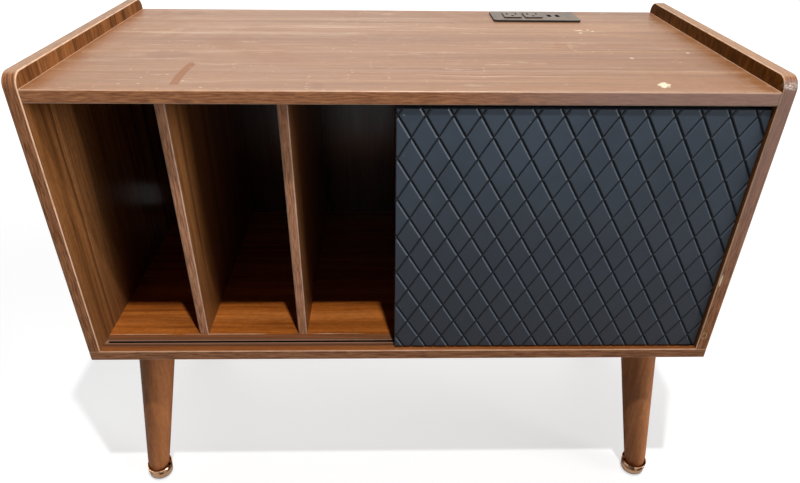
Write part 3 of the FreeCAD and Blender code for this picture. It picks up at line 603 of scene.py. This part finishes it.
def tabletop_wear_and_sheen(paint, colour, roughness):
    """Streaks, smudges, dust, single marks and browner ends on the upper side, and a painted sheen on the
    front edge.
    """
    upper = paint.fade(paint.along("z"), top_face - mark_depth, top_face - mark_full_depth)

    def mark(colour, tone, mask, strength):
        return paint.mix(paint.product(mask, upper, strength), colour, tone)

    # Painted sheen: the front edge greys towards the right
    colour = painted_front_sheen(paint, colour, "x", 0.0, front_sheen_place)

    # Thin lines, smudges and broad streaks
    wandering = paint.bent(paint.mapped((3, 7, 1)), line_bend)
    thin = paint.drawn_out((1.3, 260, 1), detail=3, roughness=0.6, place=wandering)
    areas = paint.drawn_out((4, 11, 1), detail=3, roughness=0.6, shift=(0.7, 0.2, 0))
    drawn_here = paint.fade(areas, 0.38, 0.62, start=0.2)
    dark_lines = paint.product(paint.fade(thin, 0.54, 0.68), drawn_here)
    pale_lines = paint.product(paint.fall(thin, 0.30, 0.44), drawn_here)
    colour = mark(colour, tabletop_dark, dark_lines, strength=0.75)
    colour = mark(colour, dust_pale, pale_lines, strength=0.45)
    smudges = paint.noise(7, detail=4, roughness=0.6, distortion=0.8)
    colour = mark(colour, tabletop_dark, paint.fade(smudges, 0.52, 0.66), strength=0.26)
    broad = paint.drawn_out((2.2, 34, 1), detail=4, roughness=0.65, shift=(0.4, 0.9, 0), place=wandering)
    colour = mark(colour, tabletop_dark, paint.fade(broad, 0.52, 0.66), strength=0.3)
    colour = mark(colour, dust_pale, paint.fall(broad, 0.34, 0.46), strength=0.25)

    # Dark patches, a wiped stroke and a cup's ring
    for (x, y), (half_width, half_depth) in patches:
        half_sizes = (half_width, half_depth, mark_half_height)
        patch = paint.spot((x, y, top_face), half_sizes, 0.5 * half_width, soft=0.3)
        colour = mark(colour, tabletop_dark, patch, strength=0.5)
    swipe = paint.stroke(swipe_middle, swipe_half_length, swipe_half_width, swipe_bend)
    colour = mark(colour, tabletop_wiped, swipe, strength=0.75)
    cup_ring = paint.ring(cup_ring_middle, cup_ring_half_sizes)
    cup_ring = paint.product(cup_ring, paint.fade(smudges, 0.44, 0.56))
    colour = mark(colour, dust_pale, cup_ring, strength=0.14)

    # Dust, nicks and the chip
    smears = paint.drawn_out((14, 60, 1), detail=4, roughness=0.7)
    colour = mark(colour, dust_pale, paint.fade(smears, 0.60, 0.72), strength=0.3)
    clusters = paint.fade(paint.noise(6, detail=2), 0.45, 0.58)
    dots = paint.specks(cells=95, size=0.09, share=0.25, stretch=2.0, stray=dust_stray)
    colour = mark(colour, dust_pale, paint.product(dots, clusters), strength=0.75)
    for (x, y), half_width in nicks:
        half_sizes = (half_width, nick_half_depth, mark_half_height)
        nick = paint.spot((x, y, top_face), half_sizes, nick_ragged, soft=0.4)
        colour = mark(colour, scuff_pale, nick, strength=0.8)
    chip = paint.spot(chip_middle, chip_half_sizes, chip_ragged, soft=0.2, turn=chip_turn)
    colour = mark(colour, scuff_pale, chip, strength=1.0)

    # Darker, browner blotches towards both ends, and the pale lines at the ends themselves
    aside = paint.math("ABSOLUTE", paint.along("x"))
    stipple = paint.fade(paint.drawn_out((120, 60, 1), detail=5, roughness=0.8), 0.46, 0.6)
    blotches = paint.noise(19, detail=4, roughness=0.6)
    end_brown = paint.math("ADD", aside, paint.product(blotches, end_brown_stray))
    end_brown = paint.fade(end_brown, end_brown_start, end_brown_full)
    colour = mark(colour, tabletop_end_brown, end_brown, strength=0.25)
    colour = mark(colour, tabletop_end_brown, paint.product(end_brown, stipple), strength=0.85)
    ends = paint.past(aside, tabletop_end - end_line, end_line_soft)
    colour = mark(colour, edge_rub_and_highlight, ends, strength=0.7)

    roughness = paint.math("ADD", roughness, paint.fade(smudges, 0.45, 0.7, end=0.1))
    return colour, paint.math("ADD", roughness, paint.product(swipe, 0.25))


# Dull strip on the base board before the dividers, and the pale line behind it
strip_depth = 0.0010
strip_full_depth = 0.0005
strip_full_end = divider_front - 0.0006
strip_end = divider_front + 0.0002
strip_before_track = 0.004
pale_line_width = 0.0016
pale_line_soft = 0.0004


def base_wear(paint, colour, roughness):
    """Duller wood before the dividers, where the door's dirt gathers, ending in a pale line."""
    above = paint.fade(paint.along("z"), base_top - strip_depth, base_top - strip_full_depth)
    depth = paint.along("y")
    streaks = paint.drawn_out((9, 420, 1), detail=4, roughness=0.7)
    dirty = paint.lay(brown_dark, brown, streaks, 0.36, 0.64)
    strip = paint.fall(depth, strip_full_end, strip_end, start=0.75)
    near_track = paint.fade(depth, track_front - strip_before_track, track_front, start=0.5)
    colour = paint.mix(paint.product(strip, near_track, above), colour, dirty)
    line_rear = divider_front + pale_line_width
    line = paint.product(
        paint.past(depth, divider_front, pale_line_soft),
        paint.fall(depth, line_rear - pale_line_soft, line_rear + pale_line_soft),
    )
    broken = paint.drawn_out((14, 60, 1), detail=3, roughness=0.6)
    line = paint.product(line, paint.fade(broken, 0.42, 0.58, end=0.55))
    return paint.mix(paint.product(line, above), colour, edge_rub_and_highlight), roughness


back_shift = (3.1, 0.4, 2.2)
back_soft = 0.0005


def back_laminate():
    """Walnut laminate on the inside of the back panel, bare hardboard on its outside."""
    paint = Paint("back_laminate", specular=0.55)
    inside, broad, height = wood_colour(paint, "z", back_shift, back_tones)
    fibres = paint.noise(340, detail=4, roughness=0.7)
    bundles = paint.noise(24, detail=5, roughness=0.7)
    bare = paint.lay(hardboard_dark, hardboard, fibres, 0.3, 0.7)
    bare = paint.lay(bare, hardboard_pale, bundles, 0.42, 0.66, strength=0.5)
    outside = paint.past(paint.along("y"), back_middle, back_soft)
    paint.bump(height, fine_wood_relief, strength=0.3)
    roughness = paint.math("ADD", paint.uneven(broad, 0.18, 0.26), paint.product(outside, 0.55))
    return paint.finish(paint.mix(outside, inside, bare), roughness)


# Depths under the door's face at which the painted shade in its grooves starts and is darkest
wall_shade_start = 0.0002
wall_shade_full = 0.0012
bottom_shade_start = 0.0010
bottom_shade_full = 0.0016


def slate_paint():
    """Matte slate paint with a fine sprayed texture, painted shade towards its bottom and down in its
    grooves, and a painted tint on the groove walls that look up and to the right.
    """
    paint = Paint("slate_paint", specular=0.42)
    cloud = paint.noise(9, detail=4, roughness=0.6)
    spray = paint.noise(900, detail=2, roughness=0.5)
    colour = paint.lay(slate, slate_light, cloud, 0.35, 0.65)
    # Painted shade: the door darkens towards the bottom
    colour = paint.mix(paint.fall(paint.along("z"), base_top, top_face), colour, slate_bottom_shade)
    # Painted light: the groove walls that look up and to the right, where the light falls, get a bluer
    # tint
    upward = paint.looking("z")
    rightward = paint.fade(paint.looking("x"), -0.1, 0.1)
    lit_wall = paint.product(paint.fade(upward, 0.05, 0.2), rightward)
    colour = paint.mix(lit_wall, colour, groove_lit)
    depth = paint.math("SUBTRACT", paint.along("y"), door_face)
    # Painted shade on the groove walls that look down and at the bottoms of the grooves
    shaded_wall = paint.product(
        paint.fall(upward, -0.20, -0.08),
        paint.fade(rightward, 0.0, 1.0, start=1.0, end=0.72),
        paint.fade(depth, wall_shade_start, wall_shade_full, start=0.3),
    )
    in_front = paint.fall(paint.looking("y"), -0.5, -0.3)
    groove_bottom_shade = paint.product(in_front, paint.fade(depth, bottom_shade_start, bottom_shade_full, end=0.9))
    dark = paint.math("MAXIMUM", shaded_wall, groove_bottom_shade)
    colour = paint.mix(dark, colour, groove_shade)
    upright = (math.radians(-90), 0, 0)
    colour = paint.mix(paint.specks(cells=30, size=0.03, share=0.07, turn=upright), colour, slate_dust)
    paint.bump(spray, spray_relief, strength=0.4)
    roughness = paint.math("ADD", paint.uneven(cloud, 0.42, 0.5), paint.product(dark, 0.45))
    return paint.finish(colour, roughness)


leg_shift = (0.7, 1.9, 0.3)


def leg_wood():
    """Stained hardwood with its grain along the leg."""
    paint = Paint("leg_wood", specular=0.12)
    colour, broad, height = wood_colour(paint, "z", leg_shift, leg_tones, contrast=0.7)
    paint.bump(height, wood_relief, strength=0.4)
    return paint.finish(colour, paint.uneven(broad, 0.38, 0.48))


# Swell of the copper, and heights above its foot and below its rim where its looks change
copper_swell = 36.0
foot_dark_full_height = 0.001
foot_dark_height = 0.004
highlight_height = 0.003
highlight_full_height = 0.007
rim_shade_drop = 0.010
rim_shade_full_drop = 0.006


def copper_plate():
    """Polished, softly swelling copper plate, with a painted highlight band, painted shade below its rim
    and painted shade and dirt along its foot.
    """
    paint = Paint("copper_plate", metallic=1.0)
    height = paint.along("z")
    tarnish = paint.noise(130, detail=4, roughness=0.65)
    colour = paint.lay(copper_bright, copper_dull, tarnish, 0.45, 0.75)
    # Painted highlight: a bright band from just above the foot up to the rim
    highlight_start = ferrule_foot + highlight_height
    colour = paint.lay(colour, copper_highlight, height, highlight_start, ferrule_foot + highlight_full_height, 0.85)
    # Painted shade in patches under the rim, where the leg shades it
    painted_shade_noise = paint.fade(paint.noise(75, detail=3, roughness=0.6), 0.40, 0.54, end=0.9)
    under_rim = paint.fade(height, ferrule_rim - rim_shade_drop, ferrule_rim - rim_shade_full_drop)
    colour = paint.mix(paint.product(painted_shade_noise, under_rim), colour, copper_shade_and_dirt)
    # Painted shade and dirt along the foot
    shade_and_dirt = paint.fall(height, ferrule_foot + foot_dark_full_height, ferrule_foot + foot_dark_height, start=0.9)
    colour = paint.mix(shade_and_dirt, colour, copper_shade_and_dirt)
    from_middle = paint.math("SUBTRACT", height, (ferrule_foot + ferrule_rim) / 2)
    paint.bump(paint.product(from_middle, from_middle, -copper_swell), depth=1.0)
    return paint.finish(colour, paint.fade(tarnish, 0.4, 0.7, start=0.05, end=0.14))


def moulded(name, colour, worn, specular, roughness, grit, metallic=0.0):
    """Plain moulded plastic or plated metal: cloudy colour, fine grit and uneven gloss."""
    paint = Paint(name, specular, metallic)
    cloud = paint.noise(45, detail=4, roughness=0.6)
    paint.bump(paint.noise(grit, detail=2, roughness=0.5), grit_relief, strength=0.4)
    clouded = paint.lay(colour, worn, cloud, 0.35, 0.75)
    return paint.finish(clouded, paint.uneven(cloud, roughness, roughness + 0.12))


def outlet_plastic(name, roughness):
    """Black moulded plastic, dusty on its upper side, with painted shade down its walls."""
    paint = Paint(name, specular=0.45)
    cloud = paint.noise(70, detail=4, roughness=0.65)
    paint.bump(paint.noise(900, detail=2, roughness=0.5), outlet_relief, strength=0.4)
    upward = paint.fade(paint.facing("z"), 0.5, 0.9)
    dusty = paint.lay(outlet_worn, outlet_dusty, cloud, 0.3, 0.7)
    # Painted shade: the walls get a deeper black than the upper side
    colour = paint.mix(upward, black_deep, dusty)
    return paint.finish(colour, paint.fade(upward, 0.0, 1.0, start=0.8, end=roughness))


# Lips of the track's slot, with their painted highlight, and heights above the base board between which
# the painted shade and dirt in the slot end
lip_half = 0.0034
lip_soft = 0.0003
slot_shade_full = 0.0001
slot_shade_end = 0.0006


def track_plastic():
    """Brown extruded plastic with a painted highlight on its lips and painted shade and dirt down in the
    slot.
    """
    paint = Paint("brown_plastic", specular=0.3)
    drawn = paint.drawn_out((3, 300, 300), detail=3, roughness=0.6)
    colour = paint.mix(drawn, brown_dark, brown)
    aside = paint.math("ABSOLUTE", paint.math("SUBTRACT", paint.along("y"), track_middle))
    lip_highlight = paint.fall(aside, lip_half - lip_soft, lip_half + lip_soft, start=0.55)
    colour = paint.mix(lip_highlight, colour, track_lip_highlight)
    shade_and_dirt = paint.fall(paint.along("z"), base_top + slot_shade_full, base_top + slot_shade_end)
    colour = paint.mix(shade_and_dirt, colour, track_shade_and_dirt)
    paint.bump(drawn, grit_relief, strength=0.3)
    return paint.finish(colour, paint.uneven(drawn, 0.38, 0.48))


dowel_shift = (0.2, 0.1, 0.6)


def beech():
    """Bare beech of the dowels."""
    paint = Paint("beech")
    colour, broad, height = wood_colour(paint, "x", dowel_shift, beech_tones)
    paint.bump(height, fine_wood_relief, strength=0.4)
    return paint.finish(colour, paint.uneven(broad, 0.6, 0.72))


# Boards: the axes of grain and thickness, and a shift of the grain so that no two boards look alike
lying = ("x", "z")
standing = ("z", "x")
top_shift = (0.35, 0.12, 0.5)
base_shift = (1.9, 0.73, 0.2)
shelf_shift = (4.1, 0.33, 0.7)
left_shift = (0.5, 2.3, 0.1)
right_shift = (6.2, 0.8, 0.4)
upright_shifts = {
    "left_record_divider": (2.7, 4.4, 0.9),
    "right_record_divider": (8.3, 1.6, 0.6),
    "centre_partition": (5.5, 3.2, 0.8),
}
walnut(
    "top_panel",
    lying,
    top_shift,
    tabletop_tones,
    tabletop_band,
    contrast=0.75,
    gloss=top_gloss,
    wear_and_painted_light=tabletop_wear_and_sheen,
    rub_and_highlight=top_rub_and_highlight,
)
walnut(
    "base_panel",
    lying,
    base_shift,
    board_tones,
    base_band,
    contrast=0.9,
    wear_and_painted_light=base_wear,
    rub_and_highlight=base_rub_and_highlight,
)
walnut("adjustable_shelf", lying, shelf_shift, board_tones, base_band)
walnut(
    "left_side_panel",
    standing,
    left_shift,
    panel_tones,
    side_band,
    contrast=1.2,
    gloss=left_gloss,
    wear_and_painted_light=slot_wall_shade,
)
# The right side panel wears the darker shaded tones, which are painted shade
walnut(
    "right_side_panel",
    standing,
    right_shift,
    shaded_tones,
    side_band,
    gloss=right_gloss,
    wear_and_painted_light=right_panel_wear_and_painted_light,
)
for upright_board, upright_shift in upright_shifts.items():
    walnut(
        upright_board,
        standing,
        upright_shift,
        panel_tones,
        divider_band,
        wear_and_painted_light=slot_wall_shade,
        rub_and_highlight=divider_rub_and_highlight,
    )

# The other pieces
leg_corners = ("front_left", "front_right", "rear_left", "rear_right")
sides = ("left", "right")
wear_coat(back_laminate(), "back_panel")
wear_coat(slate_paint(), "sliding_door")
wear_coat(leg_wood(), *[f"{corner}_leg" for corner in leg_corners])
wear_coat(copper_plate(), *[f"{corner}_ferrule" for corner in leg_corners])
wear_coat(
    moulded("black_nylon", black, black_worn, specular=0.4, roughness=0.45, grit=700),
    *[f"{corner}_glide" for corner in leg_corners],
    *[f"{side}_roller_housing" for side in sides],
    *[f"{side}_top_guide" for side in sides],
    "outlet_box",
    "outlet_clamps",
    "outlet_cord_gland",
)
wear_coat(track_plastic(), "lower_track", "upper_track")
wear_coat(
    moulded("white_nylon", nylon, nylon_shade, specular=0.4, roughness=0.4, grit=600),
    *[f"{side}_roller_wheel" for side in sides],
)
wear_coat(
    moulded("zinc_steel", zinc, zinc_dull, specular=0.5, roughness=0.28, grit=900, metallic=1.0),
    *[f"{corner}_leg_plate" for corner in leg_corners],
    *[f"{side}_roller_axle" for side in sides],
    "cam_bolts",
    "cam_locks",
    "base_side_screws",
    "base_divider_screws",
    "back_panel_screws",
    "shelf_pins",
    "roller_screws",
    "guide_screws",
    "outlet_clamp_screws",
    "hanger_bolts",
    "leg_plate_screws",
)
wear_coat(beech(), "wood_dowels")
wear_coat(outlet_plastic("bezel_plastic", roughness=0.34), "outlet_bezel")
wear_coat(
    outlet_plastic("socket_plastic", roughness=0.28),
    *[f"{side}_outlet_socket" for side in sides],
)
wear_coat(
    moulded("port_black", black_deep, black, specular=0.2, roughness=0.6, grit=900),
    *[f"{side}_usb_port" for side in sides],
)
wear_coat(
    moulded("circuit_board", board_green, board_dark, specular=0.5, roughness=0.35, grit=300),
    "usb_circuit_board",
)

# Stage: the floor glows a little where it is seen, so that it meets the white background
floor_half = 6.0
floor_drop = 0.0004
floor_grey = (0.5, 0.5, 0.5, 1.0)
floor_roughness = 0.9
near_glow = 0.64
far_glow = 0.95
near_distance = 0.7
far_distance = 2.5
white = (1.0, 1.0, 1.0, 1.0)


def put(name, data):
    """A new object in the scene."""
    thing = bpy.data.objects.new(name, data)
    bpy.context.scene.collection.objects.link(thing)
    return thing


def make_floor():
    """The floor, which keeps the object's shadow."""
    mesh = bpy.data.meshes.new("stage_floor")
    floor_corners = [
        (-floor_half, -floor_half, -floor_drop),
        (floor_half, -floor_half, -floor_drop),
        (floor_half, floor_half, -floor_drop),
        (-floor_half, floor_half, -floor_drop),
    ]
    mesh.from_pydata(floor_corners, [], [(0, 1, 2, 3)])
    floor = put("stage_floor", mesh)
    paint = Paint("stage_floor", specular=0.0)
    away = paint.add("ShaderNodeVectorMath", operation="LENGTH")
    paint.feed(away.inputs[0], paint.place)
    glow = paint.fade(away.outputs["Value"], near_distance, far_distance, near_glow, far_glow)
    paint.shader.inputs["Emission Color"].default_value = white
    paint.feed(paint.shader.inputs["Emission Strength"], paint.product(paint.seen_directly(), glow))
    mesh.materials.append(paint.finish(floor_grey, floor_roughness))


# Light
lamp_aside = 0.126
lamp_before_front = 0.58
lamp_above_top = 1.90
lamp_radius = 0.03
lamp_power = 140.0
back_direction = Vector((0.08, -0.66, -0.75))
back_strength = 0.28 * math.pi
back_angle = math.radians(40)
side_direction = Vector((-0.90, 0.36, -0.24))
side_strength = 0.54 * math.pi
side_angle = math.radians(28)
left_direction = Vector((0.85, -0.2, -0.4))
left_strength = 0.09 * math.pi
left_angle = math.radians(40)
ambient = (0.012, 0.0125, 0.0135, 1.0)
reflected_low = (0.56, 0.55, 0.53, 1.0)
reflected_high = (1.05, 1.04, 1.01, 1.0)
low_reflection = math.radians(4)
high_reflection = math.radians(24)


def make_lamp():
    """The ceiling lamp, at the place that the shadow edges on the slot floors point to."""
    light = bpy.data.lights.new("ceiling_lamp", "POINT")
    light.energy = lamp_power
    light.shadow_soft_size = lamp_radius
    lamp = put("ceiling_lamp", light)
    lamp.location = (lamp_aside, front_face - lamp_before_front, top_face + lamp_above_top)


def make_sun(name, direction, strength, angle):
    """Soft light from far away, which shines along the direction."""
    light = bpy.data.lights.new(name, "SUN")
    light.energy = strength
    light.angle = angle
    sun = put(name, light)
    sun.rotation_mode = "QUATERNION"
    sun.rotation_quaternion = direction.to_track_quat("-Z", "Y")


def make_world():
    """Dim all round for the light on the object, bright in reflections, white where it is seen."""
    world = bpy.data.worlds.new("studio")
    world.use_nodes = True
    world.cycles.sampling_method = "NONE"
    graph = Graph(world.node_tree)
    rise = graph.part_along(graph.add("ShaderNodeTexCoord").outputs["Generated"], "z")
    rise = graph.fade(rise, math.sin(low_reflection), math.sin(high_reflection))
    reflected = graph.mix(rise, reflected_low, reflected_high)
    glossy = graph.add("ShaderNodeLightPath").outputs["Is Glossy Ray"]
    unseen = graph.mix(glossy, ambient, reflected)
    shown = graph.mix(graph.seen_directly(), unseen, white)
    graph.feed(graph.tree.nodes["Background"].inputs["Color"], shown)
    bpy.context.scene.world = world


# Camera, worked out from the corners of the boards in the photograph
image_width = 800
focal_pixels = 628.7
camera_pitch = math.radians(31.772)
camera_yaw = math.radians(1.492)
camera_roll = math.radians(0.738)
camera_before_front = 0.6166
camera_above_base = 0.5625
camera_aside = -0.0193
camera_nearest = 0.01
sensor_width = 36.0


def make_camera():
    """The photograph's camera, turned by its yaw, pitch and roll."""
    lens = bpy.data.cameras.new("camera")
    lens.sensor_width = sensor_width
    lens.lens = sensor_width * focal_pixels / image_width
    lens.clip_start = camera_nearest
    forward = Vector(
        (
            math.sin(camera_yaw) * math.cos(camera_pitch),
            math.cos(camera_yaw) * math.cos(camera_pitch),
            -math.sin(camera_pitch),
        )
    )
    level = Vector((math.cos(camera_yaw), -math.sin(camera_yaw), 0))
    upward = level.cross(forward)
    right = level * math.cos(camera_roll) + upward * math.sin(camera_roll)
    up = upward * math.cos(camera_roll) - level * math.sin(camera_roll)
    turn = Matrix((right, up, -forward)).transposed()
    place = Vector((camera_aside, front_face - camera_before_front, base_under + camera_above_base))
    camera = put("camera", lens)
    camera.matrix_world = Matrix.Translation(place) @ turn.to_4x4()
    bpy.context.scene.camera = camera


make_floor()
make_lamp()
make_sun("back_fill", back_direction, back_strength, back_angle)
make_sun("side_window", side_direction, side_strength, side_angle)
make_sun("left_fill", left_direction, left_strength, left_angle)
make_world()
make_camera()
bpy.context.scene.view_settings.view_transform = "Standard"
